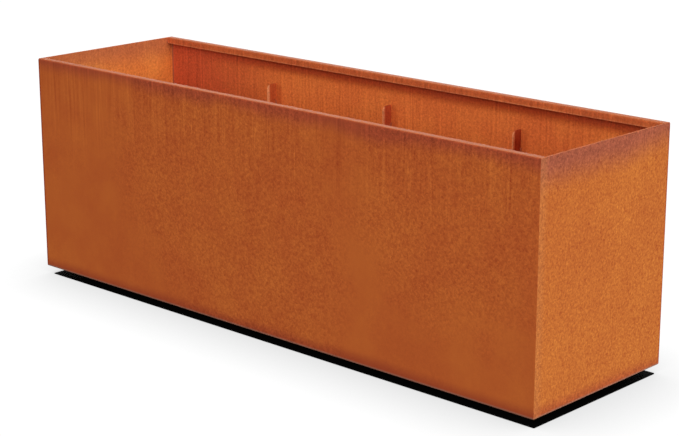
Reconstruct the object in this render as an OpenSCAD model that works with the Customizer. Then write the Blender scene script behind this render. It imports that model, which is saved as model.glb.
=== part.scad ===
// Trough planter in folded weathering steel sheet, on foot channels over a thin ground mat.
// Millimetres. X runs along the trough, -Y is the front, +Z is up.
// The origin is on the ground, at the centre of the trough's footprint.

/* [Overall size] */
// Length of the trough, left to right
body_l = 2133.6; // [1500:0.1:3000]
// Depth of the trough, front to back
body_w = 609.6; // [450:0.1:1000]
// Height of the walls, bottom edge to rim
body_h = 736.6; // [500:0.1:1000]
// Height of the walls' bottom edge above the ground
body_lift = 25.4; // [20:0.1:60]

/* [Sheet] */
// Thickness of the wall sheets
sheet_t = 3; // [2:0.5:4]
// Inside radius of every fold
fold_r = 2; // [1:0.5:3]
// Width of the rim's flat top on the long walls
rim_w = 28; // [22:1:50]
// Height of the lip that hangs from the rim
lip_h = 21; // [15:1:40]
// Width of the ledge folded in at the bottom, which carries the floor
ledge_w = 30; // [22:1:50]
// Gap between two ledges that meet at a corner
ledge_gap = 1; // [0.5:0.5:3]

/* [Floor] */
// Thickness of the floor sheet
floor_t = 3; // [2:0.5:5]
// Gap between the floor's edge and the fold beside it
floor_gap = 0.5; // [0.3:0.1:1]
// Diameter of a drain hole
drain_d = 25; // [12:1:40]
// Distance between the two rows of drain holes
drain_row_gap = 240; // [100:10:300]

/* [Ribs] */
// Depth of a rib, out from the wall
rib_d = 38; // [30:1:60]
// Thickness of a rib
rib_t = 5; // [3:1:8]
// Distance from the rim's top down to a rib's top
rib_drop = 102; // [60:1:200]
// Radius on a rib's top inner corner
rib_nose_r = 16; // [1:0.5:20]

/* [Ties] */
// Height of a tie's flat bar
tie_h = 40; // [30:1:60]
// Thickness of a tie
tie_t = 5; // [3:1:8]
// Distance from the ribs' top down to the middle of a tie
tie_drop = 230; // [40:5:260]
// Gap between a tie's end and the weld in the corner beside it
tie_end_gap = 2; // [1:0.5:8]

/* [Tie bolts] */
// Diameter of a tie bolt
bolt_d = 10; // [8:1:12]
// Width across the flats of a bolt head and of a nut
hex_af = 17; // [15:1:19]
// Height of a bolt head
bolt_head_h = 6.4; // [5:0.1:8]
// Height of a nut
nut_h = 8; // [6:0.1:11]
// Outer diameter of a washer
washer_d = 20; // [16:1:26]
// Thickness of a washer
washer_t = 2; // [1:0.5:3]
// Length of bolt that shows past its nut
bolt_tail = 3; // [1:0.5:6]
// How much wider than the bolt the holes in the ribs and ties are
bolt_hole_play = 1; // [0.5:0.1:2]
// How much wider than the bolt a washer's hole is
washer_play = 0.5; // [0.3:0.1:1]
// How much wider than the bolt a nut's bore is
nut_play = 0.1; // [0.05:0.05:0.3]

/* [Feet] */
// Width of a foot channel's flat top
foot_top_w = 50; // [30:1:80]
// Width of the flange along each side of a foot channel
foot_flange_w = 20; // [12:1:40]
// Thickness of a foot channel
foot_t = 3; // [2:0.5:4]
// Distance from the front and back faces in to the feet's ends
foot_inset = 100; // [40:5:150]
// Distance from the trough's ends in to the middle of the outer feet
foot_end_gap = 150; // [130:5:250]

/* [Ground mat] */
// Thickness of the mat
mat_t = 3; // [2:0.5:6]
// How far the mat stops short of the front face
mat_inset_front = 5; // [0:1:40]
// How far the mat stops short of the back face
mat_inset_back = 17; // [0:1:40]
// How far the mat stops short of the left end
mat_inset_left = 28; // [0:1:84]
// How far the mat stops short of the right end
mat_inset_right = 1; // [0:1:84]

/* [Welds] */
// Leg of the fillets beside the ribs and up the corners
weld_leg = 4; // [3:0.5:5]
// Leg of the fillets between the floor and the walls
floor_weld_leg = 6; // [5:0.5:8]
// Leg of the small fillets at the rim's and the feet's ends
small_weld_leg = 2.5; // [1.5:0.5:3]
// Length of a stitch beside a rib
rib_stitch_l = 40; // [20:1:50]
// Length of a stitch round the floor
floor_stitch_l = 60; // [30:1:90]

/* [Hidden] */
$fn = 48;
cut = 1; // How far a cutting shape runs past what it cuts

places = ["left", "centre", "right"];
foot_names = concat(["left_end"], places, ["right_end"]);
sides = ["front", "back"];

fold_out_r = fold_r + sheet_t;
body_top = body_lift + body_h;
inner_l = body_l - 2 * sheet_t;
inner_w = body_w - 2 * sheet_t;
bays = len(places) + 1;
bay_l = body_l / bays;
rib_xs = [for (i = [1:len(places)]) i * bay_l - body_l / 2];
bay_xs = [for (i = [0:bays - 1]) (i + 0.5) * bay_l - body_l / 2];

ledge_cut_y = body_w / 2 - ledge_w - ledge_gap;
floor_edge = sheet_t + fold_r + floor_gap;
floor_under = body_lift + sheet_t;
floor_top = floor_under + floor_t;

rib_top = body_top - rib_drop;
rib_h = rib_top - floor_top;
rib_mid_y = inner_w / 2 - rib_d / 2;
tie_z = rib_top - tie_drop;
tie_l = inner_w - 2 * (weld_leg + tie_end_gap);

grip_l = rib_t + tie_t + 2 * washer_t;
bolt_l = grip_l + nut_h + bolt_tail;
head_x = rib_t / 2 + tie_t + washer_t;
nut_x = -rib_t / 2 - washer_t;

foot_h = floor_under - mat_t;
foot_l = body_w - 2 * foot_inset;
outer_foot_x = body_l / 2 - foot_end_gap;
foot_xs = concat([-outer_foot_x], rib_xs, [outer_foot_x]);

steel_colour = "#a4522b";
rim_colour = "#b9684a";
plated_colour = "#b5b8ba";
mat_colour = "#141414";

// ---- Shapes that several sub-parts share ----

// A quarter ring of folded sheet about centre, on the given side of it in each direction
module fold(centre, side_x, side_y, thickness = sheet_t) {
    reach = fold_r + thickness;
    translate(centre)
        intersection() {
            difference() {
                circle(r = reach);
                circle(r = fold_r);
            }
            translate([min(side_x, 0) * reach, min(side_y, 0) * reach])
                square(reach);
        }
}

// A straight stretch of sheet between two corners
module strip(low, high) {
    translate(low)
        square(high - low);
}

// Stands a drawing of depth and height up, and runs it along X
module along_x(length) {
    rotate([90, 0, 90])
        linear_extrude(height = length, center = true)
            children();
}

// Stands a drawing of X and height up, and runs it along Y
module along_y(length) {
    rotate([90, 0, 0])
        linear_extrude(height = length, center = true)
            children();
}

// A rounded rectangle that stands on the drawing's base line, with square top corners if asked
module wall_outline(width, square_top = false) {
    for (side = [-1, 1], z = square_top ? [fold_out_r] : [fold_out_r, body_h - fold_out_r])
        translate([side * (width / 2 - fold_out_r), z])
            circle(r = fold_out_r);
    strip([-width / 2, fold_out_r], [width / 2, body_h - (square_top ? 0 : fold_out_r)]);
    strip([-width / 2 + fold_out_r, 0], [width / 2 - fold_out_r, body_h]);
}

// A convex fillet in the corner of two faces that meet at the origin
module fillet(leg) {
    intersection() {
        circle(r = leg);
        square(leg);
    }
}

// A six-sided prism with its top corners turned off
module hexagon(height) {
    across = hex_af / cos(30);
    intersection() {
        cylinder(h = height, d = across, $fn = 6);
        cylinder(h = height, d1 = across + height, d2 = hex_af);
    }
}

// Puts its child at both ends of each tie, turned so that its Z runs along the bolt
module at_tie_bolts(x) {
    for (rib_x = rib_xs, side = [-1, 1])
        translate([rib_x + x, side * rib_mid_y, tie_z])
            rotate([0, 90, 0])
                children();
}

// ---- Walls and floor ----

// A long wall drawn from the outside in: wall, rim, lip and ledge
module long_wall_section() {
    strip([0, fold_out_r], [sheet_t, body_h - fold_out_r]);
    fold([fold_out_r, body_h - fold_out_r], -1, 1);
    strip([fold_out_r, body_h - sheet_t], [rim_w - fold_out_r, body_h]);
    fold([rim_w - fold_out_r, body_h - fold_out_r], 1, 1);
    strip([rim_w - sheet_t, body_h - lip_h], [rim_w, body_h - fold_out_r]);
    fold([fold_out_r, fold_out_r], -1, -1);
    strip([fold_out_r, 0], [ledge_w, sheet_t]);
}

// The long wall's plan: mitred through the sheet, and square between the end walls
module long_wall_plan() {
    reach = max(rim_w, ledge_w) + cut;
    polygon([
        [-body_l / 2, -body_w / 2],
        [body_l / 2, -body_w / 2],
        [inner_l / 2, -inner_w / 2],
        [inner_l / 2, reach - body_w / 2],
        [-inner_l / 2, reach - body_w / 2],
        [-inner_l / 2, -inner_w / 2]
    ]);
}

module long_wall() {
    translate([0, 0, body_lift])
        intersection() {
            translate([0, -body_w / 2, 0])
                along_x(body_l)
                    long_wall_section();
            linear_extrude(height = body_h)
                long_wall_plan();
            along_y(body_w + 2 * cut)
                wall_outline(body_l, square_top = true);
        }
}

// An end wall drawn from the outside in: a plain wall with a ledge
module end_wall_section() {
    strip([0, fold_out_r], [sheet_t, body_h]);
    fold([fold_out_r, fold_out_r], -1, -1);
    strip([fold_out_r, 0], [ledge_w, sheet_t]);
}

// The end wall's plan: mitred through the sheet, with its ledge cut to lie between the others
module end_wall_plan() {
    reach = ledge_w + cut;
    polygon([
        [-body_l / 2, -body_w / 2],
        [-inner_l / 2, -inner_w / 2],
        [-inner_l / 2, -ledge_cut_y],
        [reach - body_l / 2, -ledge_cut_y],
        [reach - body_l / 2, ledge_cut_y],
        [-inner_l / 2, ledge_cut_y],
        [-inner_l / 2, inner_w / 2],
        [-body_l / 2, body_w / 2]
    ]);
}

module end_wall() {
    translate([0, 0, body_lift])
        intersection() {
            translate([-body_l / 2, 0, 0])
                along_y(body_w)
                    end_wall_section();
            linear_extrude(height = body_h)
                end_wall_plan();
            along_x(body_l + 2 * cut)
                wall_outline(body_w);
        }
}

module front_panel() {
    color(steel_colour)
        long_wall();
}

module back_panel() {
    color(steel_colour)
        mirror([0, 1, 0])
            long_wall();
}

module left_end_panel() {
    color(steel_colour)
        end_wall();
}

module right_end_panel() {
    color(steel_colour)
        mirror([1, 0, 0])
            end_wall();
}

// The floor lies on the four ledges and on the feet
module floor_panel() {
    color(steel_colour)
        difference() {
            translate([0, 0, floor_under + floor_t / 2])
                cube([body_l - 2 * floor_edge, body_w - 2 * floor_edge, floor_t], center = true);
            for (x = bay_xs, side = [-1, 1])
                translate([x, side * drain_row_gap / 2, floor_under - cut])
                    cylinder(h = floor_t + 2 * cut, d = drain_d);
        }
}

// ---- Ribs and ties ----

// An upright flat bar on edge against the front wall, with its top inner corner rounded
module front_rib(x) {
    color(steel_colour)
        translate([x, -inner_w / 2, floor_top])
            difference() {
                along_x(rib_t) {
                    strip([0, 0], [rib_d, rib_h - rib_nose_r]);
                    strip([0, 0], [rib_d - rib_nose_r, rib_h]);
                    translate([rib_d - rib_nose_r, rib_h - rib_nose_r])
                        circle(r = rib_nose_r);
                }
                translate([0, rib_d / 2, tie_z - floor_top])
                    rotate([0, 90, 0])
                        cylinder(h = rib_t + 2 * cut, d = bolt_d + bolt_hole_play, center = true);
            }
}

module rib(side, x) {
    mirror([0, side == "back" ? 1 : 0, 0])
        front_rib(x);
}

// A flat bar on edge from a front rib to the back rib opposite, on their right-hand faces
module tie_bar(x) {
    color(steel_colour)
        translate([x + rib_t / 2 + tie_t / 2, 0, tie_z])
            difference() {
                cube([tie_t, tie_l, tie_h], center = true);
                for (side = [-1, 1])
                    translate([0, side * rib_mid_y, 0])
                        rotate([0, 90, 0])
                            cylinder(h = tie_t + 2 * cut, d = bolt_d + bolt_hole_play, center = true);
            }
}

module tie_bolts() {
    color(plated_colour)
        at_tie_bolts(head_x) {
            union() {
                hexagon(bolt_head_h);
                translate([0, 0, -bolt_l])
                    cylinder(h = bolt_l + bolt_head_h / 2, d = bolt_d);
            }
        }
}

// One washer under each bolt head and one under each nut
module tie_washers() {
    color(plated_colour)
        for (x = [head_x - washer_t, nut_x])
            at_tie_bolts(x)
                difference() {
                    cylinder(h = washer_t, d = washer_d);
                    translate([0, 0, -cut])
                        cylinder(h = washer_t + 2 * cut, d = bolt_d + washer_play);
                }
}

module tie_nuts() {
    color(plated_colour)
        at_tie_bolts(nut_x)
            difference() {
                mirror([0, 0, 1])
                    hexagon(nut_h);
                translate([0, 0, -nut_h - cut])
                    cylinder(h = nut_h + 2 * cut, d = bolt_d + nut_play);
            }
}

// ---- Feet and mat ----

// The right-hand half of a foot channel's section, standing on its flange
module foot_half_section() {
    web = foot_top_w / 2;
    reach = fold_r + foot_t;
    strip([0, foot_h - foot_t], [web - reach, foot_h]);
    fold([web - reach, foot_h - reach], 1, 1, foot_t);
    strip([web - foot_t, reach], [web, foot_h - reach]);
    fold([web + fold_r, reach], -1, -1, foot_t);
    strip([web + fold_r, 0], [web + foot_flange_w, foot_t]);
}

// A hat-shaped channel across the trough, between the mat and the floor
module foot_channel(x) {
    color(steel_colour)
        translate([x, 0, mat_t])
            along_y(foot_l) {
                foot_half_section();
                mirror([1, 0])
                    foot_half_section();
            }
}

module ground_mat() {
    color(mat_colour)
        translate([mat_inset_left - body_l / 2, mat_inset_front - body_w / 2, 0])
            cube([
                body_l - mat_inset_left - mat_inset_right,
                body_w - mat_inset_front - mat_inset_back,
                mat_t
            ]);
}

// ---- Welds ----

// Upright fillets inside the four corners, from the floor's welds to the rim's fold
module corner_welds() {
    low = floor_top + floor_weld_leg;
    high = body_top - fold_out_r;
    color(steel_colour)
        for (side_x = [0, 1], side_y = [0, 1])
            mirror([side_x, 0, 0])
                mirror([0, side_y, 0])
                    translate([-inner_l / 2, -inner_w / 2, low])
                        linear_extrude(height = high - low)
                            fillet(weld_leg);
}

// Short upright fillets where each lip meets an end wall
module rim_end_welds() {
    low = body_top - lip_h;
    high = body_top - fold_out_r;
    color(steel_colour)
        for (side_x = [0, 1], side_y = [0, 1])
            mirror([side_x, 0, 0])
                mirror([0, side_y, 0])
                    translate([-inner_l / 2, rim_w - body_w / 2, low])
                        linear_extrude(height = high - low)
                            fillet(small_weld_leg);
}

// Stitches up each rib, on its left and its right in turn
module rib_welds() {
    stitches = 4;
    color(steel_colour)
        for (x = rib_xs, side_y = [0, 1], i = [0:stitches - 1])
            mirror([0, side_y, 0])
                translate([x, -inner_w / 2, floor_top + (i + 0.5) * rib_h / stitches - rib_stitch_l / 2])
                    mirror([1 - i % 2, 0, 0])
                        translate([rib_t / 2, 0, 0])
                            linear_extrude(height = rib_stitch_l)
                                fillet(weld_leg);
}

// Stitches round the floor: two to a bay along the long walls and two at each end
module floor_welds() {
    color(steel_colour) {
        for (x = bay_xs, step = [-1, 1], side_y = [0, 1])
            mirror([0, side_y, 0])
                translate([x + step * bay_l / 4, -inner_w / 2, floor_top])
                    along_x(floor_stitch_l)
                        floor_fillet();
        for (side_x = [0, 1], step = [-1, 1])
            mirror([side_x, 0, 0])
                translate([-inner_l / 2, step * body_w / 4, floor_top])
                    along_y(floor_stitch_l)
                        floor_fillet();
    }
}

module floor_fillet() {
    fillet(floor_weld_leg);
}

// Fillets across both ends of each foot's flat top
module foot_welds() {
    length = foot_top_w - 2 * (fold_r + foot_t);
    color(steel_colour)
        for (x = foot_xs, side_y = [0, 1])
            mirror([0, side_y, 0])
                translate([x, foot_l / 2, floor_under])
                    mirror([0, 0, 1])
                        along_x(length)
                            fillet(small_weld_leg);
}

front_panel();
back_panel();
left_end_panel();
right_end_panel();
floor_panel();
for (side = sides, i = [0:len(places) - 1])
    rib(side, rib_xs[i]);
for (i = [0:len(places) - 1])
    tie_bar(rib_xs[i]);
for (i = [0:len(foot_names) - 1])
    foot_channel(foot_xs[i]);
tie_bolts();
tie_washers();
tie_nuts();
ground_mat();
corner_welds();
rim_end_welds();
rib_welds();
floor_welds();
foot_welds();
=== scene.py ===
# %% [markdown]
# # A long trough planter in rusted steel
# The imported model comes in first, as a frame that nothing in this file moves. Every size and place below is
# read from it, so the looks always sit on the right shape. The box is measured before anything is added.

# %% Load the frame
import math

import bpy
from mathutils import Matrix, Vector


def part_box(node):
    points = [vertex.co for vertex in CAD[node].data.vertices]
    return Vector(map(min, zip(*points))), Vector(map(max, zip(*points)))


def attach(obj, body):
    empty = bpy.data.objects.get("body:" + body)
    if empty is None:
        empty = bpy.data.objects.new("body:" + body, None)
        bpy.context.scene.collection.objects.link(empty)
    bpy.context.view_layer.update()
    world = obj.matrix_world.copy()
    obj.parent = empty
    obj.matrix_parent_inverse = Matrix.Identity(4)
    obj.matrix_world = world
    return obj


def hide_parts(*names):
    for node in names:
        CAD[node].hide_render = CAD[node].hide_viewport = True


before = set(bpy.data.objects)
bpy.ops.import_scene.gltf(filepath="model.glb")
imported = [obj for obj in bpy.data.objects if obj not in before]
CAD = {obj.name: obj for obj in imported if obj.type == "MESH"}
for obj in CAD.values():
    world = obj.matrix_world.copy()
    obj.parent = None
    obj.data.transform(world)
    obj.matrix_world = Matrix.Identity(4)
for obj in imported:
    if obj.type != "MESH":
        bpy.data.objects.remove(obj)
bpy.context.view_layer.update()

MM = 0.001
body_low, body_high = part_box("front_panel")
half_length = body_high.x
half_depth = -body_low.y
wall_bottom = body_low.z
wall_top = body_high.z
floor_low, floor_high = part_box("floor_panel")
sheet = floor_low.z - wall_bottom
floor_top = floor_high.z
inner_length = half_length - sheet
inner_depth = half_depth - sheet
print("trough", round(2 * half_length, 4), "long,", round(2 * half_depth, 4), "deep, walls",
      round(wall_bottom, 4), "to", round(wall_top, 4), "of", round(sheet / MM, 2), "mm sheet")

# %% [markdown]
# ## The camera
# A camera is easiest to place the way a person stands: choose what to look at, how far round to walk, how
# high to hold the camera and how far back to stand. A long lens, well back, keeps the sides nearly
# parallel, as a catalogue picture does.

# %% Place the camera
WALK_ROUND = math.radians(43.233)
LOOK_DOWN = math.radians(15.419)
CAMERA_ROLL = math.radians(-0.055)
STAND_BACK = 5.745
AIM_OFFSET = Vector((0.0355, 0.0197, -0.0408))
LENS = 95.48
SENSOR_WIDTH = 36

trough_centre = Vector((0, 0, wall_top / 2))
toward_camera = Vector((
    math.sin(WALK_ROUND) * math.cos(LOOK_DOWN),
    -math.cos(WALK_ROUND) * math.cos(LOOK_DOWN),
    math.sin(LOOK_DOWN),
))
camera = bpy.data.objects.new("camera", bpy.data.cameras.new("camera"))
camera.data.sensor_width = SENSOR_WIDTH
camera.data.lens = LENS
camera.location = trough_centre + AIM_OFFSET + toward_camera * STAND_BACK
facing = (-toward_camera).to_track_quat("-Z", "Y").to_matrix()
camera.rotation_euler = (facing @ Matrix.Rotation(CAMERA_ROLL, 3, "Z")).to_euler()
bpy.context.scene.collection.objects.link(camera)
bpy.context.scene.camera = camera
print("camera at", tuple(round(c, 3) for c in camera.location))

# %% [markdown]
# ## Sums on sockets
# A shader is arithmetic on values that change over a surface. Written node by node it is long and hard to
# read, so one small class wraps a socket and lets Python's own signs add the Math nodes. A second class
# holds the material being made, and its one method, node, makes any other node.

# %% The helpers for materials
class Value:
    """A socket that carries a number, with Python's arithmetic on it."""

    def __init__(self, finish, socket):
        self.finish = finish
        self.socket = socket

    def math(self, operation, *inputs):
        node = self.finish.node("ShaderNodeMath", {"operation": operation}, inputs)
        return Value(self.finish, node.outputs[0])

    def __add__(self, other):
        return self.math("ADD", self, other)

    __radd__ = __add__

    def __mul__(self, other):
        return self.math("MULTIPLY", self, other)

    def __sub__(self, other):
        return self.math("SUBTRACT", self, other)

    def __rsub__(self, other):
        return self.math("SUBTRACT", other, self)

    def __truediv__(self, other):
        return self.math("DIVIDE", self, other)

    def __abs__(self):
        return self.math("ABSOLUTE", self)

    def step(self, low, high):
        """0 where the value is at low, 1 where it is at high, and a smooth rise between."""
        settings = {"interpolation_type": "SMOOTHSTEP"}
        node = self.finish.node("ShaderNodeMapRange", settings, {0: self, 1: low, 2: high})
        return Value(self.finish, node.outputs[0])


class Finish:
    """One material, built up node by node. Patterns are measured in metres, on Object coordinates."""

    def __init__(self, name):
        self.material = bpy.data.materials.new(name)
        self.material.use_nodes = True
        self.tree = self.material.node_tree
        self.shader = self.tree.nodes["Principled BSDF"]
        self.place = self.node("ShaderNodeTexCoord").outputs["Object"]
        split = self.node("ShaderNodeSeparateXYZ", {}, {0: self.place})
        self.x, self.y, self.z = (Value(self, s) for s in split.outputs)

    def join(self, target, source):
        """Sets a socket to a number or colour, or links a value to it."""
        if isinstance(source, Value):
            source = source.socket
        if isinstance(source, bpy.types.NodeSocket):
            self.tree.links.new(source, target)
        elif isinstance(target, bpy.types.NodeSocketColor) and len(source) == 3:
            target.default_value = (*source, 1)
        else:
            target.default_value = source

    def node(self, kind, settings=None, inputs=None):
        """Makes any node: its settings first, then its sockets, by name or by number."""
        made = self.tree.nodes.new(kind)
        for name, value in (settings or {}).items():
            setattr(made, name, value)
        given = inputs if isinstance(inputs, dict) else dict(enumerate(inputs or ()))
        for key, source in given.items():
            self.join(made.inputs[key], source)
        return made

    def stretched(self, along, offset=(0, 0, 0)):
        """The place on the piece, with each direction scaled to so many features a metre."""
        inputs = {"Vector": self.place, "Scale": along, "Location": offset}
        return self.node("ShaderNodeMapping", {}, inputs).outputs[0]

    def noise(self, along, detail=2.0, roughness=0.5, distortion=0.0, offset=(0, 0, 0)):
        """Cloudy noise from 0 to 1. along is features a metre: one number, or one for each of X, Y, Z."""
        along = along if isinstance(along, tuple) else (along,) * 3
        made = self.node("ShaderNodeTexNoise", {}, {
            "Vector": self.stretched(along, offset),
            "Scale": 1.0,
            "Detail": detail,
            "Roughness": roughness,
            "Distortion": distortion,
        })
        return Value(self, made.outputs[0])

    def cells(self, along):
        """Distance to the middle of the nearest of many scattered cells, in cell widths."""
        place = self.stretched((along,) * 3)
        made = self.node("ShaderNodeTexVoronoi", {}, {"Vector": place, "Scale": 1.0})
        return Value(self, made.outputs["Distance"])

    def blend(self, mask, low, high, how="MIX"):
        """The colour low where the mask is 0, and high where it is 1."""
        settings = {"data_type": "RGBA", "blend_type": how}
        return self.node("ShaderNodeMix", settings, {0: mask, 6: low, 7: high}).outputs[2]

    def shade(self, colour, amount, warm=0.0):
        """A colour made lighter or darker by a value round 1. warm also turns its lights yellower."""
        red = green = amount
        if warm:
            red = amount - (amount - 1) * warm
            green = amount + (amount - 1) * (warm * 0.5)
        tint = self.node("ShaderNodeCombineColor", {}, (red, green, amount)).outputs[0]
        return self.blend(1.0, colour, tint, "MULTIPLY")

    def done(self, colour, roughness, height, bump_depth=0.5 * MM, bump_strength=0.5, **constants):
        """Joins the pattern to the shader, and sets what is the same all over on its own socket.

        In constants, an underscore stands for each space in the socket's name."""
        self.join(self.shader.inputs["Base Color"], colour)
        self.join(self.shader.inputs["Roughness"], roughness)
        bump_inputs = {"Strength": bump_strength, "Distance": bump_depth, "Height": height}
        bump = self.node("ShaderNodeBump", {}, bump_inputs)
        self.join(self.shader.inputs["Normal"], bump.outputs[0])
        for name, value in constants.items():
            self.join(self.shader.inputs[name.replace("_", " ")], value)
        print(self.material.name, "has", len(self.tree.nodes), "nodes")
        return self.material


print("helpers ready")

# %% [markdown]
# ## The floor and the light
# The trough stands on a seamless white studio floor that is lit until it is plain white, so the only thing
# it shows is the soft dark where the trough nearly touches it. That is what an Ambient Occlusion node
# measures, so the floor glows white and the occlusion dims it. Only the camera sees this floor: a real one
# would throw light back up under the walls and flatten them.

# %% The studio floor
FLOOR_RADIUS = 60
SHADOW_REACH = 0.32
SHADOW_DEPTH = 0.48
SHADOW_SAMPLES = 16
PLAIN_WHITE = 1.04

bpy.ops.object.select_all(action="DESELECT")
bpy.ops.mesh.primitive_circle_add(vertices=96, radius=FLOOR_RADIUS, fill_type="NGON", location=(0, 0, 0))
studio_floor = bpy.context.object
studio_floor.name = "studio_floor"
white = Finish("studio_white")
openness = white.node("ShaderNodeAmbientOcclusion", {"samples": SHADOW_SAMPLES}, {"Distance": SHADOW_REACH})
lit = PLAIN_WHITE - (1 - Value(white, openness.outputs["AO"])) * SHADOW_DEPTH
glow = white.node("ShaderNodeEmission", {}, {"Color": white.shade((1, 1, 1), lit), "Strength": 1.0})
white.join(white.tree.nodes["Material Output"].inputs["Surface"], glow.outputs[0])
studio_floor.data.materials.append(white.material)
studio_floor.visible_diffuse = False
studio_floor.visible_glossy = False
studio_floor.visible_shadow = False
print("floor", round(studio_floor.dimensions.x, 1), "m across")

# %% [markdown]
# A pale room gives every side a little light. Four softboxes do the rest: a low one far to the right makes
# the end wall the brightest side, one beside the camera reaches over the front wall to the inside of the
# back wall, a wide one overhead fills the trough, and one behind on the left gleams along the rim. They
# stand far off, so that both ends of so long a thing get the same light.

# %% The room and its softboxes
ROOM_LIGHT = 0.12
SOFTBOX_AWAY = 20.0

room = bpy.data.worlds.new("pale_room")
room.use_nodes = True
room_nodes = room.node_tree
room_glow = room_nodes.nodes["Background"]
room_glow.inputs["Color"].default_value = (1, 1, 1, 1)
room_glow.inputs["Strength"].default_value = ROOM_LIGHT
backdrop = room_nodes.nodes.new("ShaderNodeBackground")
backdrop.inputs["Color"].default_value = (1, 1, 1, 1)
backdrop.inputs["Strength"].default_value = PLAIN_WHITE
seen = room_nodes.nodes.new("ShaderNodeLightPath")
either = room_nodes.nodes.new("ShaderNodeMixShader")
room_nodes.links.new(seen.outputs["Is Camera Ray"], either.inputs[0])
room_nodes.links.new(room_glow.outputs[0], either.inputs[1])
room_nodes.links.new(backdrop.outputs[0], either.inputs[2])
room_nodes.links.new(either.outputs[0], room_nodes.nodes["World Output"].inputs["Surface"])
bpy.context.scene.world = room
bpy.context.scene.view_settings.view_transform = "Standard"


def softbox(name, round_from_front, up, size, brightness):
    """A square light that faces the trough, so many degrees round to the right from the front and up.

    brightness is what a white card turned to face it would show, where 1 is white. Light thins out with the
    square of the distance, so the lamp's power makes up for how far off it stands."""
    turn = math.radians(round_from_front)
    tilt = math.radians(up)
    direction = Vector((
        math.sin(turn) * math.cos(tilt),
        -math.cos(turn) * math.cos(tilt),
        math.sin(tilt),
    ))
    lamp = bpy.data.lights.new(name, "AREA")
    lamp.shape = "SQUARE"
    lamp.size = size
    lamp.energy = brightness * math.pi ** 2 * SOFTBOX_AWAY ** 2
    light = bpy.data.objects.new(name, lamp)
    light.location = trough_centre + direction * SOFTBOX_AWAY
    light.rotation_euler = (-direction).to_track_quat("-Z", "Y").to_euler()
    light.visible_camera = False
    bpy.context.scene.collection.objects.link(light)


softbox("right_softbox", round_from_front=88, up=7, size=6.0, brightness=0.72)
softbox("front_softbox", round_from_front=12, up=25, size=10.0, brightness=0.47)
softbox("overhead_softbox", round_from_front=0, up=85, size=12.0, brightness=0.27)
softbox("gleam_softbox", round_from_front=223, up=17, size=10.0, brightness=0.38)
print("room light", ROOM_LIGHT, "and 4 softboxes")

# %% [markdown]
# ## Weathering steel
# Weathering steel rusts to a tight skin that then protects it. The skin is never one colour. The mill's
# rolling leaves cloudy patches from orange to red-brown, rain washes it in fine upright streaks that start
# at the rim, and the rust itself grows in small crooked flecks. Each of these is one noise at its own size:
# squeezed sideways and drawn out upwards a noise makes streaks, and twisted by another it makes flecks.
# Water also hangs along the rim and along the bottom edge, so those places are darker. They are found by
# their distance from the sheet's edges, wandering a little with one more noise, because no tide mark is
# straight.
# Under the lip and beside the ribs the sheet is painted darker as well: painted shade under the lip and a
# painted shadow beside each rib. Painted highlights make the rust brighter on top of the rim, on the lip's
# lower edge and on the free edges of the ribs, and a grey line on the bottom fold is a painted reflection
# of the white floor.

# %% The rust finish
ORANGE_RUST = (0.685, 0.160, 0.032)
RED_RUST = (0.630, 0.130, 0.029)
DARK_RUST = (0.380, 0.040, 0.010)
DEEP_RED_RUST = (0.580, 0.088, 0.034)
BAND_RUST = (0.470, 0.082, 0.034)
FOOT_RUST = (0.440, 0.072, 0.026)
# Painted light: the inside colours are lighter than the outside ones, for the light that falls on the inside.
INNER_ORANGE_LIT = (0.880, 0.236, 0.052)
INNER_RED_LIT = (0.820, 0.186, 0.046)
PALE_RUST = (0.590, 0.215, 0.070)
# A painted highlight: the pale colour laid on the lip's lower edge and on the ribs' free edges, where light
# catches them.
PAINTED_EDGE_HIGHLIGHT = (0.950, 0.400, 0.170)
# A painted sheen: the paler, pinker colour of the rim's top stands in for the grazing reflection on it.
RIM_PAINTED_SHEEN = (0.720, 0.190, 0.060)
# A painted reflection of the white floor, laid as a grey line along the bottom fold.
FLOOR_REFLECTION_GREY = (0.400, 0.200, 0.140)
LIP_DROP = 21 * MM
RIM_WIDTH = 28 * MM
RIB_WIDTH = 38 * MM
# Where the painted shadow beside each rib lies, and how wide it is.
RIB_SHADOW_ASIDE = 13 * MM
RIB_SHADOW_SPAN = 22 * MM
LIP_SHADE_REACH = 50 * MM
LIP_HIGHLIGHT_SPAN = 4 * MM
RED_END_START = 0.35
RED_END_FULL = 1.0
FOLD_LINE_LOW = 3 * MM
FOLD_LINE_HIGH = 9 * MM
SKIN = 2.2 * MM
RIB_NAMES = ("left", "centre", "right")
rib_places = [sum((corner.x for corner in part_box(f"back_rib_{place}")), 0) / 2 for place in RIB_NAMES]
rib_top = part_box("back_rib_left")[1].z


def near(value, place, span):
    """1 at the place, falling to 0 a span away from it."""
    return 1 - abs(value - place).step(0.3 * span, span)


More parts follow.
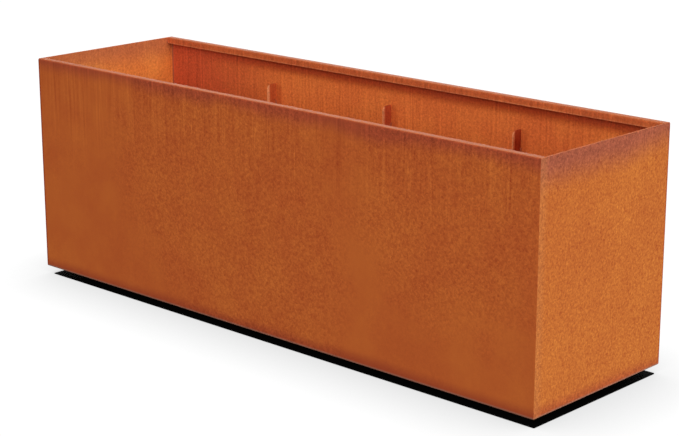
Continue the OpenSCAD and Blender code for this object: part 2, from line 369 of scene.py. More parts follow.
def weathered_steel(name, light=ORANGE_RUST, dark=RED_RUST, band=BAND_RUST, band_height=0.036,
                    foot=FOOT_RUST, inner_light=INNER_ORANGE_LIT, inner_dark=INNER_RED_LIT, fleck_spots=(),
                    fleck_all=0.0, streaks=1.0, floor_reflection=0.75, dark_ends=(), light_ends=(),
                    light_colour=PALE_RUST, long_wall=False, seed=0.0):
    """Rusted sheet. band and foot are its colours along the rim and along the ground.

    fleck_spots are round places of strong flecks, as x, z and reach. dark_ends and light_ends are strips
    along a free edge, as axis, place and span, and a light one has its strength too. floor_reflection is how
    strong the grey line on the bottom fold is, a painted reflection of the white floor, and long_wall adds
    what only a wall with a lip and ribs has."""
    f = Finish(name)
    shift = (3.1 + seed, 7.7 - seed, 1.3 + seed)
    from_top = wall_top - f.z
    from_foot = f.z - wall_bottom

    # Only the outer skin of the trough lies this far out, so this tells the two sides of a sheet apart.
    past_depth = abs(f.y).step(half_depth - SKIN, half_depth - 0.5 * SKIN)
    past_length = abs(f.x).step(half_length - SKIN, half_length - 0.5 * SKIN)
    outside = past_depth.math("MAXIMUM", past_depth, past_length)
    inside = 1 - outside

    # One noise for each size of mark, from clouds half a metre across to grains of a few millimetres.
    cloud = f.noise(1.9, detail=3, roughness=0.55, offset=shift)
    patch = f.noise(8, detail=3, roughness=0.6, offset=shift)
    grain = f.noise(190, detail=3, roughness=0.75, offset=shift)
    fleck = f.noise(135, detail=4, roughness=0.62, distortion=0.7, offset=shift)
    streak = f.noise((105, 105, 3.2), detail=3, roughness=0.7, distortion=0.15, offset=shift)
    gusts = f.noise((22, 22, 1.2), detail=3, roughness=0.65, offset=shift)

    # Flecks are strong in some places and faint in the rest.
    fleck_area = f.noise(3.2, detail=2, offset=shift).step(0.40, 0.62)
    fleck_area = fleck_area.math("MAXIMUM", fleck_area * 0.22, fleck_all)
    for place_x, place_z, reach in fleck_spots:
        across = (f.x - place_x) * (1 / reach)
        upward = (f.z - place_z) * (1 / reach)
        spot = 1 - (across * across + upward * upward + (patch - 0.5) * 1.4).step(0.3, 1.4)
        fleck_area = spot.math("MAXIMUM", fleck_area, spot)
    fleck_area = fleck_area.math("MAXIMUM", fleck_area * outside, inside * 0.75)

    # The plain colour of each side, the inside of a wall painted lighter than its outside for the light that
    # falls there, then everything that makes it lighter or darker.
    warmth = (cloud * 0.55 + patch * 0.45).step(0.36, 0.64)
    outer = f.blend(warmth, dark, light)
    colour = f.blend(inside, outer, f.blend(warmth, inner_dark, inner_light))

    wash_reach = 0.14 + gusts * 0.40
    wash = (1 - (from_top / wash_reach).step(0.2, 1.0)) * outside + inside
    clumps = (gusts - 0.40).step(0.0, 0.22)
    tone = 1 + (streak - 0.5) * (0.34 + clumps * 1.0) * wash * streaks + (gusts - 0.5) * 0.08
    tone = tone + (grain - 0.5) * 0.18 + (patch - 0.5) * 0.06
    tone = tone + (fleck - 0.5) * (0.08 + fleck_area * 1.60)
    colour = f.shade(colour, tone, warm=0.35)

    # Inside a long wall: painted shade under the lip, a painted highlight on the lip's lower edge, a red end,
    # and a painted shadow beside each rib.
    if long_wall:
        at_wall = inside * abs(f.y).step(half_depth - RIM_WIDTH, half_depth - 0.5 * RIM_WIDTH)
        # Painted shade: the inside of a long wall is darkened just below the lip, where the lip shades it.
        below_lip = from_top.step(LIP_DROP, LIP_DROP + 1 * MM)
        under_lip = near(from_top, LIP_DROP + 2 * MM, LIP_SHADE_REACH) * below_lip
        colour = f.blend(under_lip * at_wall * 0.85, colour, f.shade(DARK_RUST, tone))
        # Painted highlight along the lip's lower edge.
        lip_highlight = near(from_top, LIP_DROP - 1 * MM, LIP_HIGHLIGHT_SPAN) * inside * (1 - at_wall)
        colour = f.blend(lip_highlight * 0.45, colour, f.shade(PAINTED_EDGE_HIGHLIGHT, tone))
        red_end = (f.x * -1).step(RED_END_START, RED_END_FULL) * at_wall
        colour = f.blend(red_end * 0.85, colour, f.shade(DEEP_RED_RUST, tone))
        below_ribs = (rib_top - f.z).step(-12 * MM, 12 * MM)
        for rib_x in rib_places:
            # Painted shadow: a dark strip on the wall just beside each rib, where the rib shades it.
            run = near(f.x, rib_x + RIB_SHADOW_ASIDE, RIB_SHADOW_SPAN) * below_ribs * inside
            colour = f.blend(run * 0.4, colour, f.shade(DARK_RUST, tone))

    # The tide marks along the rim and the ground, a painted reflection of the floor on the bottom fold, the
    # strips beside free edges, and a painted highlight on the top of the rim.
    wander = f.noise((2.6, 2.6, 0.0), detail=2, offset=shift) * 0.07
    wander = wander + f.noise((40, 40, 2), detail=2) * 0.020
    at_rim = 1 - (from_top + wander - 0.045).step(0.1 * band_height, 1.6 * band_height)
    colour = f.blend(at_rim * (0.62 + outside * 0.30), colour, f.shade(band, tone))
    at_foot = 1 - (from_foot + wander * 0.3 - 0.012).step(0.004, 0.045)
    colour = f.blend(at_foot * 0.90 * outside, colour, f.shade(foot, tone))
    # Painted reflection: a grey line along the bottom fold stands in for the white floor seen in it.
    fold_reflection = 1 - from_foot.step(FOLD_LINE_LOW, FOLD_LINE_HIGH)
    colour = f.blend(fold_reflection * floor_reflection, colour, f.shade(FLOOR_REFLECTION_GREY, tone))
    for along, place, span in dark_ends:
        colour = f.blend(near(getattr(f, along), place, span) * 0.85, colour, DARK_RUST)
    for along, place, span, amount in light_ends:
        colour = f.blend(near(getattr(f, along), place, span) * amount, colour, f.shade(light_colour, tone))
    # Painted sheen: the top of the rim is laid in a paler, pinker rust, as its grazing reflection.
    top_face = f.z.step(wall_top - 1.6 * MM, wall_top - 0.4 * MM)
    rim_tone = 1 + (fleck - 0.5) * 0.9 + (patch - 0.5) * 0.4
    colour = f.blend(top_face * 0.85, colour, f.shade(RIM_PAINTED_SHEEN, rim_tone))

    # Crusty flecks scatter light more than the smooth skin between them, and stand a little proud of it.
    roughness = 0.66 + (grain - 0.5) * 0.20 + (fleck - 0.5) * 0.40 + (patch - 0.5) * 0.12
    height = grain * 0.5 + fleck * 0.6 + streak * 0.25
    return f.done(colour, roughness, height, bump_depth=0.6 * MM, bump_strength=0.30,
                  Specular_IOR_Level=0.09)


front_steel = weathered_steel(
    "steel_front", long_wall=True, dark_ends=[("x", -half_length, 9 * MM)],
    fleck_spots=[(-0.16, 0.50, 0.52), (0.02, 0.26, 0.38), (0.76, 0.60, 0.42)],
)
back_steel = weathered_steel("steel_back", long_wall=True, fleck_all=0.6, seed=4.4)
# The end walls' inside colours are painted lighter as well, as painted light.
end_steel = weathered_steel(
    "steel_ends", light=(0.60, 0.170, 0.033), dark=(0.56, 0.148, 0.030), band=(0.385, 0.100, 0.056),
    band_height=0.066, foot=(0.46, 0.095, 0.030), inner_light=(0.90, 0.300, 0.061),
    inner_dark=(0.86, 0.248, 0.052), fleck_all=1.25, streaks=0.5, seed=2.7,
    dark_ends=[("y", half_depth, 5 * MM)], light_ends=[("y", -half_depth, 42 * MM, 0.30)],
)


def inner_steel(name, light, dark, seed, edge_highlight=0.0):
    """Steel that only the inside of the trough sees. edge_highlight paints a highlight on a rib's free edge.
    """
    # Painted highlight: a pale strip along the rib's free edge, where light catches it.
    edge = [("y", inner_depth - RIB_WIDTH, 11 * MM, edge_highlight)] if edge_highlight else ()
    return weathered_steel(name, light=light, dark=dark, inner_light=light, inner_dark=dark, floor_reflection=0.0,
                           light_ends=edge, light_colour=PAINTED_EDGE_HIGHLIGHT, seed=seed)


floor_steel = inner_steel("steel_floor", (0.55, 0.14, 0.035), (0.46, 0.095, 0.028), 1.2)
# Two copies of the rib steel with painted light: one oranger with a stronger edge highlight, as if lit, and
# one redder, as if shaded.
painted_lit_rib_steel = inner_steel("steel_rib_painted_lit", (0.60, 0.125, 0.034), (0.50, 0.085, 0.024), 5.1, 0.9)
painted_shade_rib_steel = inner_steel("steel_rib_painted_shade", (0.62, 0.112, 0.034), (0.50, 0.080, 0.026), 6.3, 0.6)
foot_steel = inner_steel("steel_feet", (0.42, 0.10, 0.03), (0.34, 0.070, 0.024), 8.2)

# %% [markdown]
# ## Weld metal, zinc and the shadow mat
# Weld metal rusts like the sheet but comes off the torch darker, with a blue-grey heat tint here and there.
# The bolts are zinc plated: a dull brushed metal that the planter's rust has begun to stain. The mat is a
# painted shadow: a near-black sheet under the trough, with cells like pressed rubber crumb.

# %% The small finishes
def weld_finish():
    f = Finish("weld_rust")
    grain = f.noise(600, detail=2)
    heat = f.noise(60, detail=1).step(0.50, 0.75)
    colour = f.blend(heat * 0.5, (0.46, 0.100, 0.034), (0.22, 0.075, 0.045))
    return f.done(f.shade(colour, 0.75 + grain * 0.5), 0.50 + grain * 0.2, grain, bump_depth=0.2 * MM,
                  Specular_IOR_Level=0.25)


def zinc_finish():
    f = Finish("zinc_dulled")
    cloud = f.noise(180, detail=2)
    brush = f.noise((40, 900, 900), detail=1)
    stain = f.noise(35, detail=3).step(0.55, 0.75)
    colour = f.blend(cloud, (0.50, 0.52, 0.55), (0.66, 0.67, 0.66))
    colour = f.blend(stain * 0.5, colour, (0.50, 0.30, 0.17))
    return f.done(colour, 0.28 + cloud * 0.2 + stain * 0.3, brush, bump_depth=0.05 * MM, Metallic=0.9)


def near_black_finish():
    f = Finish("shadow_black")
    crumb = f.cells(420)
    flake = f.noise(900, detail=1)
    # Near black all over: the mat is a painted shadow under the trough.
    colour = f.shade((0.0022, 0.0022, 0.0022), 0.7 + crumb.step(0.1, 0.6) * 0.6)
    return f.done(colour, 0.85 + flake * 0.1, crumb, bump_depth=0.4 * MM, Specular_IOR_Level=0.04)


weld_rust = weld_finish()
zinc_dulled = zinc_finish()
shadow_black = near_black_finish()

# %% [markdown]
# ## Shaping by hand
# Every piece starts as a plain primitive at its own size and place. An operator works on all that is
# selected, so each step first clears the selection and then picks its faces or edges by where they are. A
# finished piece is tied to the frame, says which CAD node it stands for, and takes its finish.

# %% The helpers for shaping
FOLD_STEPS = 6
EDGE_ROUND = 0.4 * MM
CLOSE = 0.05 * MM
SLIVER = 0.02 * MM
FACING = 0.9
FLAT_ANGLE = math.radians(0.05)
SMOOTH_ANGLE = math.radians(32)


def choose(piece):
    """Leaves one piece selected and active, in object mode."""
    if bpy.context.object and bpy.context.object.mode != "OBJECT":
        bpy.ops.object.mode_set(mode="OBJECT")
    bpy.ops.object.select_all(action="DESELECT")
    if piece is not None:
        piece.select_set(True)
        bpy.context.view_layer.objects.active = piece


def apply_place(piece):
    """Moves a piece's place, turn and size into its mesh."""
    choose(piece)
    bpy.ops.object.transform_apply(location=True, rotation=True, scale=True)


def box_between(name, low, high):
    """A box from its lowest to its highest corner."""
    choose(None)
    low, high = Vector(low), Vector(high)
    bpy.ops.mesh.primitive_cube_add(size=1, location=(low + high) / 2)
    piece = bpy.context.object
    piece.name = name
    piece.scale = high - low
    apply_place(piece)
    return piece


def edit_edges(piece, rule):
    """Opens the piece with only the edges selected whose middle and run pass the rule, and counts them."""
    choose(piece)
    bpy.ops.object.mode_set(mode="EDIT")
    bpy.ops.mesh.select_mode(type="EDGE")
    bpy.ops.mesh.select_all(action="DESELECT")
    bpy.ops.object.mode_set(mode="OBJECT")
    spots = piece.data.vertices
    picked = 0
    for edge in piece.data.edges:
        start, end = (spots[i].co for i in edge.vertices)
        edge.select = bool(rule((start + end) / 2, end - start))
        picked += edge.select
    bpy.ops.object.mode_set(mode="EDIT")
    return picked


def edit_faces(piece, rule):
    """Opens the piece with only the faces selected whose middle and normal pass the rule."""
    choose(piece)
    bpy.ops.object.mode_set(mode="EDIT")
    bpy.ops.mesh.select_mode(type="FACE")
    bpy.ops.mesh.select_all(action="DESELECT")
    bpy.ops.object.mode_set(mode="OBJECT")
    for face in piece.data.polygons:
        face.select = bool(rule(face.center, face.normal))
    bpy.ops.object.mode_set(mode="EDIT")


def push(move):
    """Extrudes what is selected."""
    bpy.ops.mesh.extrude_region_move(TRANSFORM_OT_translate={"value": tuple(move)})


def modify(piece, kind, **settings):
    """Adds a modifier and applies it."""
    choose(piece)
    modifier = piece.modifiers.new(kind.lower(), kind)
    for name, value in settings.items():
        setattr(modifier, name, value)
    bpy.ops.object.modifier_apply(modifier=modifier.name)


def cut(piece, cutter, operation="DIFFERENCE"):
    """Cuts a piece with another, which is then thrown away."""
    modify(piece, "BOOLEAN", operation=operation, object=cutter, solver="EXACT")
    bpy.data.objects.remove(cutter)


def tidy(piece):
    """Merges corners that a cut left on top of each other, and melts the slivers between them."""
    choose(piece)
    bpy.ops.object.mode_set(mode="EDIT")
    bpy.ops.mesh.select_all(action="SELECT")
    bpy.ops.mesh.remove_doubles(threshold=SLIVER)
    bpy.ops.mesh.dissolve_limited(angle_limit=FLAT_ANGLE)
    bpy.ops.mesh.dissolve_degenerate(threshold=SLIVER)
    choose(piece)


def soften(piece, size=EDGE_ROUND, angle=50, steps=2):
    """Rounds every sharp edge a little, as a file or a flap disc leaves it."""
    tidy(piece)
    modify(piece, "BEVEL", width=size, segments=steps, limit_method="ANGLE", angle_limit=math.radians(angle),
           harden_normals=False)
    tidy(piece)


def copy_of(piece, place=Matrix.Identity(4)):
    """A copy with its own mesh, moved by a matrix."""
    choose(piece)
    bpy.ops.object.duplicate()
    double = bpy.context.object
    double.matrix_world = place @ double.matrix_world
    apply_place(double)
    return double


def join_all(name, pieces):
    """Joins several copies to one piece."""
    choose(pieces[0])
    for piece in pieces:
        piece.select_set(True)
    bpy.ops.object.join()
    pieces[0].name = name
    return pieces[0]


def hand_over(piece, name, finish, slot, *stands_for):
    """Smooths a finished piece, ties it to the frame and gives it its finish."""
    choose(piece)
    bpy.ops.object.shade_smooth_by_angle(angle=SMOOTH_ANGLE)
    modify(piece, "WEIGHTED_NORMAL", keep_sharp=True)
    piece.name = name
    piece.data.materials.clear()
    piece.data.materials.append(finish)
    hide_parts(*stands_for)
    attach(piece, "root")
    print(name, len(piece.data.polygons), "faces, stands for", ", ".join(stands_for))


half_turn = Matrix.Rotation(math.pi, 4, "Z")
quarter_turn = Matrix.Rotation(-math.pi / 2, 4, "Z")

# %% [markdown]
# ## The four walls
# Each wall is one sheet, folded in a press brake. It could be drawn as a solid, but a fold is easier to get
# right as the maker does it: stand a flat sheet up, turn its edges in with extrude, round the folds with
# bevel, and only then give it a thickness. The corners are mitred through the sheet, so a second solid that
# has the mitre on it trims the ends. The back wall is the front wall turned half round, and an end wall is
# made the same way, as a shorter wall with no rim.

# %% Fold the walls
FOLD_ROUND = 5 * MM
LEDGE_WIDTH = 30 * MM
LEDGE_GAP = 1 * MM
SPARE = 1 * MM


def folded_wall(half_run, out, rim, ledge_half_run, rounded_top):
    """A wall that runs along X, with its outer face at Y = -out. It also counts the folds."""
    choose(None)
    height = wall_top - wall_bottom
    middle = (0, -out, (wall_top + wall_bottom) / 2)
    bpy.ops.mesh.primitive_plane_add(size=1, location=middle, rotation=(math.pi / 2, 0, 0))
    wall = bpy.context.object
    wall.scale = (2 * half_run, height, 1)
    apply_place(wall)
    if rim:
        edit_edges(wall, lambda at, run: at.z > wall_top - CLOSE)
        push((0, RIM_WIDTH, 0))
        push((0, 0, -LIP_DROP))
    edit_edges(wall, lambda at, run: at.z < wall_bottom + CLOSE)
    push((0, LEDGE_WIDTH, 0))
    lowest_free, highest_free = LEDGE_WIDTH - out - CLOSE, wall_top - LIP_DROP + CLOSE

    def is_fold(at, run):
        along = abs(run.x) > half_run
        ledge_end = at.z < wall_bottom + CLOSE and at.y > lowest_free
        lip_end = rim and at.y > RIM_WIDTH - out - CLOSE and at.z < highest_free
        plain_top = not rim and at.z > wall_top - CLOSE
        return along and not (ledge_end or lip_end or plain_top)

    folds = edit_edges(wall, is_fold)
    bpy.ops.mesh.bevel(offset=FOLD_ROUND, segments=FOLD_STEPS, affect="EDGES")
    modify(wall, "SOLIDIFY", thickness=sheet, offset=-1, use_even_offset=True)

    inner_run = half_run - sheet
    reach = LEDGE_WIDTH + SPARE
    mitre = box_between("mitre", (-ledge_half_run, sheet - out, wall_bottom - SPARE),
                        (ledge_half_run, reach - out, wall_top + SPARE))
    edit_faces(mitre, lambda at, normal: normal.y < -FACING)
    if ledge_half_run < inner_run - CLOSE:
        push((0, 0, 0))
        bpy.ops.transform.resize(value=(inner_run / ledge_half_run, 1, 1))
    push((0, -sheet - SPARE, 0))
    bpy.ops.transform.resize(value=((half_run + SPARE) / inner_run, 1, 1))
    cut(wall, mitre, "INTERSECT")

    outline = box_between("outline", (-half_run, -out - SPARE, wall_bottom),
                          (half_run, reach + SPARE - out, wall_top + (0 if rounded_top else SPARE)))
    edit_edges(outline, lambda at, run: abs(run.y) > CLOSE and (rounded_top or at.z < wall_bottom + CLOSE))
    bpy.ops.mesh.bevel(offset=FOLD_ROUND, segments=FOLD_STEPS, affect="EDGES")
    cut(wall, outline, "INTERSECT")
    soften(wall)
    return wall, folds


front_wall, front_folds = folded_wall(half_length, half_depth, True, inner_length, False)
back_wall = copy_of(front_wall, half_turn)
end_ledge_half_run = inner_depth + sheet - LEDGE_WIDTH - LEDGE_GAP
end_wall, end_folds = folded_wall(half_depth, half_length, False, end_ledge_half_run, True)
left_wall = copy_of(end_wall, quarter_turn)
right_wall = copy_of(left_wall, half_turn)
bpy.data.objects.remove(end_wall)
print(front_folds, "folds in a long wall,", end_folds, "in an end wall")
hand_over(front_wall, "front_wall", front_steel, "weathering_steel", "front_panel")
hand_over(back_wall, "back_wall", back_steel, "weathering_steel", "back_panel")
hand_over(left_wall, "left_end_wall", end_steel, "weathering_steel", "left_end_panel")
hand_over(right_wall, "right_end_wall", end_steel, "weathering_steel", "right_end_panel")

# %% [markdown]
# ## Floor, ribs and ties
# These are cut from flat stock. Holes are drilled, which here is a Boolean cut with a cylinder, and every
# cut edge is softened. The rib's top inner corner is rounded so that it doesn't tear roots or hands.

# %% The floor and its drains
DRAIN_RADIUS = 12.5 * MM
DRAIN_ROW = 120 * MM
BAYS = 4
MIDDLE_BAY = (BAYS - 1) / 2
bay = 2 * half_length / BAYS


def rod(radius, low, high, axis="Z", sides=48):
    """A round bar from one point to another along an axis, to drill or turn with."""
    choose(None)
    low, high = Vector(low), Vector(high)
    turn = {"X": (0, math.pi / 2, 0), "Y": (math.pi / 2, 0, 0), "Z": (0, 0, 0)}[axis]
    bpy.ops.mesh.primitive_cylinder_add(vertices=sides, radius=radius, depth=(high - low).length,
                                        location=(low + high) / 2, rotation=turn)
    piece = bpy.context.object
    apply_place(piece)
    return piece


floor_sheet = box_between("floor_sheet", floor_low, floor_high)
for i in range(BAYS):
    for row in (-DRAIN_ROW, DRAIN_ROW):
        x = (i - MIDDLE_BAY) * bay
        drill = rod(DRAIN_RADIUS, (x, row, floor_low.z - SPARE), (x, row, floor_high.z + SPARE))
        cut(floor_sheet, drill)
soften(floor_sheet)
hand_over(floor_sheet, "floor_sheet", floor_steel, "weathering_steel", "floor_panel")

# %% The ribs and the ties
BOLT_HOLE = 5.5 * MM
RIB_NOSE = 16 * MM
NOSE_STEPS = 8
tie_low, tie_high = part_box("tie_bar_centre")
tie_height = (tie_low.z + tie_high.z) / 2
rib_low, rib_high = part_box("front_rib_centre")
bolt_row = -(rib_low.y + rib_high.y) / 2


def drill_bolt_hole(flat, low_x, high_x, row):
    """Drills the hole of one tie bolt along X."""
    drill = rod(BOLT_HOLE, (low_x - SPARE, row, tie_height), (high_x + SPARE, row, tie_height), "X")
    cut(flat, drill)


rib = box_between("rib", rib_low, rib_high)
edit_edges(rib, lambda at, run: at.z > rib_high.z - CLOSE and at.y > rib_high.y - CLOSE)
bpy.ops.mesh.bevel(offset=RIB_NOSE, segments=NOSE_STEPS, affect="EDGES")
drill_bolt_hole(rib, rib_low.x, rib_high.x, -bolt_row)
soften(rib)
for place, rib_x in zip(RIB_NAMES, rib_places):
    # The left rib takes the copy painted as lit, the other ribs and the ties the copy painted as shaded.
    rib_finish = painted_lit_rib_steel if place == "left" else painted_shade_rib_steel
    beside = Matrix.Translation((rib_x, 0, 0))
    for wall, turn in (("front", Matrix.Identity(4)), ("back", half_turn)):
        double = copy_of(rib, beside @ turn)
        hand_over(double, f"rib_{wall}_{place}", rib_finish, "weathering_steel", f"{wall}_rib_{place}")
bpy.data.objects.remove(rib)

tie = box_between("tie", tie_low, tie_high)
for row in (-bolt_row, bolt_row):
    drill_bolt_hole(tie, tie_low.x, tie_high.x, row)
soften(tie)
for place, rib_x in zip(RIB_NAMES, rib_places):
    double = copy_of(tie, Matrix.Translation((rib_x, 0, 0)))
    hand_over(double, f"tie_{place}", painted_shade_rib_steel, "weathering_steel", f"tie_bar_{place}")
bpy.data.objects.remove(tie)

# %% [markdown]
# ## Bolts, washers and nuts
# A bolt is turned and forged, so it is built along its own length: a six-sided head whose corners are
# turned off with a cone, a round shank, and a thread made of rings that step in and out by half a pitch. It
# is laid along X at the end, and copied to each place where a tie meets a rib.

# %% Model one of each and copy them
HEX_FLATS = 17 * MM
CORNER_SLOPE = math.sqrt(3)
HEAD_HEIGHT = 6.4 * MM
NUT_HEIGHT = 8 * MM
BOLT_RADIUS = 5 * MM
WASHER_RADIUS = 10 * MM
WASHER_THICK = 2 * MM
BOLT_TAIL = 3 * MM
THREAD_PITCH = 1.5 * MM
THREAD_RINGS = 9
THREAD_DEPTH = 0.86
LAST_RING = 0.97
NUT_PLAY = 0.05 * MM
WASHER_PLAY = 0.25 * MM
FORGED_EDGE = 0.2 * MM
STAMPED_EDGE = 0.3 * MM
SMALL_SIDES = 32
rib_half = (rib_high.x - rib_low.x) / 2
tie_thick = tie_high.x - tie_low.x
head_x = rib_half + tie_thick + WASHER_THICK
nut_x = -rib_half - WASHER_THICK
tail_x = nut_x - NUT_HEIGHT - BOLT_TAIL
lay_along_x = Matrix.Rotation(math.pi / 2, 4, "Y")


def hexagon(height):
    """A six-sided prism up from the origin, with its top corners turned off."""
    across = HEX_FLATS / math.cos(math.pi / 6)
    prism = rod(across / 2, (0, 0, 0), (0, 0, height), sides=6)
    choose(None)
    bpy.ops.mesh.primitive_cone_add(vertices=48, radius1=HEX_FLATS / 2 + height * CORNER_SLOPE,
                                    radius2=HEX_FLATS / 2, depth=height, location=(0, 0, height / 2))
    cone = bpy.context.object
    apply_place(cone)
    cut(prism, cone, "INTERSECT")
    return prism


plain_end = tail_x - head_x + THREAD_RINGS * THREAD_PITCH
bolt = rod(BOLT_RADIUS, (0, 0, plain_end), (0, 0, HEAD_HEIGHT / 2), sides=SMALL_SIDES)
edit_faces(bolt, lambda at, normal: normal.z < -FACING)
for ring in range(THREAD_RINGS):
    for grow in (THREAD_DEPTH, 1 / THREAD_DEPTH if ring < THREAD_RINGS - 1 else LAST_RING):
        push((0, 0, -THREAD_PITCH / 2))
        bpy.ops.transform.resize(value=(grow, grow, 1))
cut(bolt, hexagon(HEAD_HEIGHT), "UNION")
soften(bolt, FORGED_EDGE, angle=55, steps=1)
nut = hexagon(NUT_HEIGHT)
cut(nut, rod(BOLT_RADIUS + NUT_PLAY, (0, 0, -SPARE), (0, 0, NUT_HEIGHT + SPARE), sides=SMALL_SIDES))
nut.rotation_euler = (math.pi, 0, 0)
apply_place(nut)
soften(nut, FORGED_EDGE, angle=55, steps=1)
washer = rod(WASHER_RADIUS, (0, 0, 0), (0, 0, WASHER_THICK))
cut(washer, rod(BOLT_RADIUS + WASHER_PLAY, (0, 0, -SPARE), (0, 0, WASHER_THICK + SPARE)))
soften(washer, STAMPED_EDGE)


def at_tie_ends(model, offsets):
    """Copies of a part at both ends of every tie, its own Z laid along X."""
    copies = []
    for rib_x in rib_places:
        for row in (-bolt_row, bolt_row):
            for offset in offsets:
                there = Matrix.Translation((rib_x + offset, row, tie_height))
                copies.append(copy_of(model, there @ lay_along_x))
    bpy.data.objects.remove(model)
    return join_all("set", copies)


hand_over(at_tie_ends(bolt, [head_x]), "bolt_set", zinc_dulled, "zinc_plate", "tie_bolts")
hand_over(at_tie_ends(nut, [nut_x]), "nut_set", zinc_dulled, "zinc_plate", "tie_nuts")
hand_over(at_tie_ends(washer, [head_x - WASHER_THICK, nut_x]), "washer_set", zinc_dulled, "zinc_plate",
          "tie_washers")

# %% [markdown]
# ## Feet and ground mat
# A foot is a hat-shaped channel. It is folded like the walls, but its folds turn both ways, so the two pairs
# of edges are rounded by different amounts to keep the sheet one thickness all through. The mat is a thin
# near-black slab with a rounded edge, laid on the floor under the trough: a painted shadow, a dark sheet put
# where there is only shade.

# %% Fold a foot and copy it
FOOT_NAMES = ("left_end", "left", "centre", "right", "right_end")
FOOT_WEB = 25 * MM
FOOT_SHEET = 3 * MM
FOLD_INNER = 2 * MM
foot_low, foot_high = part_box("foot_channel_centre")

choose(None)
bpy.ops.mesh.primitive_plane_add(size=1, location=(0, 0, foot_high.z))
foot = bpy.context.object
foot.scale = (2 * FOOT_WEB, foot_high.y - foot_low.y, 1)
apply_place(foot)
edit_edges(foot, lambda at, run: abs(run.x) < CLOSE)
flange_top = foot_low.z + FOOT_SHEET
push((0, 0, flange_top - foot_high.z))
for side in (-1, 1):
    edit_edges(foot, lambda at, run: abs(run.x) < CLOSE and at.z < flange_top + CLOSE and at.x * side > 0)
    push((side * (foot_high.x - FOOT_WEB), 0, 0))
edit_edges(foot, lambda at, run: abs(run.x) < CLOSE and at.z > foot_high.z - CLOSE)
bpy.ops.mesh.bevel(offset=FOLD_ROUND, segments=FOLD_STEPS, affect="EDGES")
edit_edges(foot, lambda at, run: abs(run.y) > SPARE and abs(abs(at.x) - FOOT_WEB) < CLOSE
           and at.z < flange_top + CLOSE)
bpy.ops.mesh.bevel(offset=FOLD_INNER, segments=FOLD_STEPS, affect="EDGES")
bpy.ops.mesh.select_all(action="SELECT")
bpy.ops.mesh.normals_make_consistent(inside=False)
modify(foot, "SOLIDIFY", thickness=FOOT_SHEET, offset=-1, use_even_offset=True)
soften(foot)
for place in FOOT_NAMES:
    low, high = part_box(f"foot_channel_{place}")
    double = copy_of(foot, Matrix.Translation(((low.x + high.x) / 2, 0, 0)))
    hand_over(double, f"foot_{place}", foot_steel, "weathering_steel", f"foot_channel_{place}")
bpy.data.objects.remove(foot)

# %% The ground mat
MAT_CORNER = 3 * MM
MAT_EDGE = 0.8 * MM

# Painted shadow: a near-black sheet where there is only the shadow under the trough.
mat = box_between("mat", *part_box("ground_mat"))
edit_edges(mat, lambda at, run: abs(run.z) > CLOSE)
bpy.ops.mesh.bevel(offset=MAT_CORNER, segments=3, affect="EDGES")
soften(mat, MAT_EDGE, angle=60, steps=3)
hand_over(mat, "painted_shadow_mat", shadow_black, "black_rubber", "ground_mat")

# %% [markdown]
# ## The welds
# A bead of weld is a row of overlapping ripples, one for each dab of the torch. One ripple is modelled as a
# ring that swells and shrinks, an Array modifier repeats it to the bead's length, and two cuts leave the
# quarter that shows in the corner between two sheets. Beads differ only in size, length and place.

# %% Lay the beads
RIPPLE = 2.6 * MM
RIPPLE_LOW = 0.87
RIPPLE_RISE = 0.35
BEAD_SIDES = 20
TOUCHING = 0.01 * MM
CORNER_LEG = 4 * MM
RIM_LEG = 2.5 * MM
RIB_LEG = 4 * MM
FLOOR_LEG = 6 * MM
FOOT_LEG = 2.5 * MM


def bead(leg, length):
    """A rippled quarter-round along Z from the origin, in the corner that opens to +X and +Y."""
    count = max(2, round(length / RIPPLE))
    pitch = length / count
    choose(None)
    bpy.ops.mesh.primitive_circle_add(vertices=BEAD_SIDES, radius=leg * RIPPLE_LOW, fill_type="NOTHING")
    ripple = bpy.context.object
    edit_edges(ripple, lambda at, run: True)
    push((0, 0, pitch * RIPPLE_RISE))
    bpy.ops.transform.resize(value=(1 / RIPPLE_LOW, 1 / RIPPLE_LOW, 1))
    push((0, 0, pitch * (1 - RIPPLE_RISE)))
    bpy.ops.transform.resize(value=(RIPPLE_LOW, RIPPLE_LOW, 1))
    modify(ripple, "ARRAY", count=count, use_relative_offset=False, use_constant_offset=True,
           constant_offset_displace=(0, 0, pitch), use_merge_vertices=True, merge_threshold=TOUCHING)
    for end in (0, length):
        edit_edges(ripple, lambda at, run: abs(at.z - end) < TOUCHING and abs(run.z) < TOUCHING)
        bpy.ops.mesh.edge_face_add()
    bpy.ops.mesh.select_all(action="SELECT")
    bpy.ops.mesh.normals_make_consistent(inside=False)
    for normal in ((1, 0, 0), (0, 1, 0)):
        bpy.ops.mesh.select_all(action="SELECT")
        bpy.ops.mesh.bisect(plane_co=(0, 0, 0), plane_no=normal, use_fill=True, clear_inner=True)
    choose(ripple)
    return ripple


def turned(quarters):
    """A turn about the bead's own length, so that it opens into another corner."""
    return Matrix.Rotation(quarters * math.pi / 2, 4, "Z")


def lay(name, leg, length, places, *stands_for):
    """One piece made of a bead copied to every place."""
    model = bead(leg, length)
    piece = join_all(name, [copy_of(model, place) for place in places])
    bpy.data.objects.remove(model)
    hand_over(piece, name, weld_rust, "weld_metal", *stands_for)


def in_corners(half_x, half_y, low):
    """Places for an upright bead in each of the four corners of a rectangle."""
    corners = ((-1, -1), (1, -1), (1, 1), (-1, 1))
    return [Matrix.Translation((x * half_x, y * half_y, low)) @ turned(quarters)
            for quarters, (x, y) in enumerate(corners)]


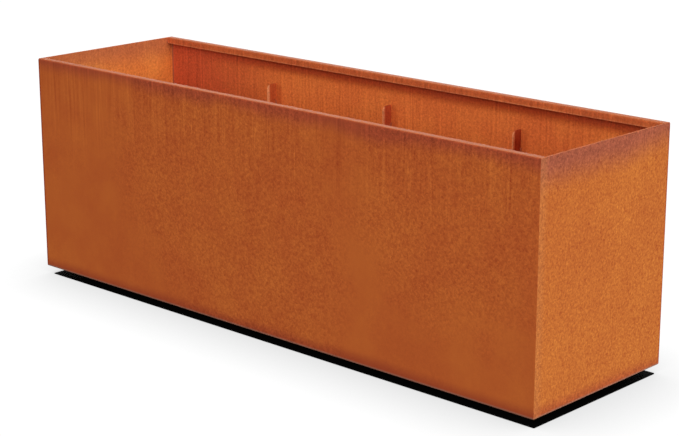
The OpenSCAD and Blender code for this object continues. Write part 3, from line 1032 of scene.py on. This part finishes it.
corner_low, corner_high = (corner.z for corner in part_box("corner_welds"))
lay("corner_beads", CORNER_LEG, corner_high - corner_low,
    in_corners(inner_length, inner_depth, corner_low), "corner_welds")
rim_low, rim_high = (corner.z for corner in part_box("rim_end_welds"))
lay("rim_end_beads", RIM_LEG, rim_high - rim_low,
    in_corners(inner_length, half_depth - RIM_WIDTH, rim_low), "rim_end_welds")

STITCHES = 4
STITCH = 40 * MM
QUARTERS_TO_OPEN = {(1, -1): 0, (-1, -1): 1, (-1, 1): 2, (1, 1): 3}
rib_height = rib_high.z - rib_low.z
stitch_places = []
for rib_x in rib_places:
    for i in range(STITCHES):
        low = rib_low.z + (i + 0.5) * rib_height / STITCHES - STITCH / 2
        side = 1 if i % 2 else -1
        for wall in (-1, 1):
            spot = Matrix.Translation((rib_x + side * rib_half, wall * inner_depth, low))
            quarters = QUARTERS_TO_OPEN[(side, wall)]
            stitch_places.append(spot @ turned(quarters))
lay("rib_stitches", RIB_LEG, STITCH, stitch_places, "rib_welds")

FLOOR_STITCH = 60 * MM
floor_places = []
for i in range(BAYS):
    for step in (-0.25, 0.25):
        x = (i - MIDDLE_BAY + step) * bay
        start = Matrix.Translation((x - FLOOR_STITCH / 2, -inner_depth, floor_top))
        lying = start @ lay_along_x @ turned(1)
        floor_places += [lying, half_turn @ lying]
for step in (-0.5, 0.5):
    start = Matrix.Translation((step * half_depth - FLOOR_STITCH / 2, -inner_length, floor_top))
    lying = quarter_turn @ start @ lay_along_x @ turned(1)
    floor_places += [lying, half_turn @ lying]
lay("floor_stitches", FLOOR_LEG, FLOOR_STITCH, floor_places, "floor_welds")

FOOT_STITCH = 2 * (FOOT_WEB - FOLD_ROUND)
foot_places = []
for place in FOOT_NAMES:
    low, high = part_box(f"foot_channel_{place}")
    middle = (low.x + high.x) / 2
    start = Matrix.Translation((middle - FOOT_STITCH / 2, high.y, high.z))
    lying = start @ lay_along_x @ turned(0)
    foot_places += [lying, Matrix.Translation((2 * middle, 0, 0)) @ half_turn @ lying]
lay("foot_beads", FOOT_LEG, FOOT_STITCH, foot_places, "foot_welds")

# %% List the CAD nodes that still show
left_over = [name for name, node in CAD.items() if not node.hide_render]
print("CAD nodes that still show:", left_over)
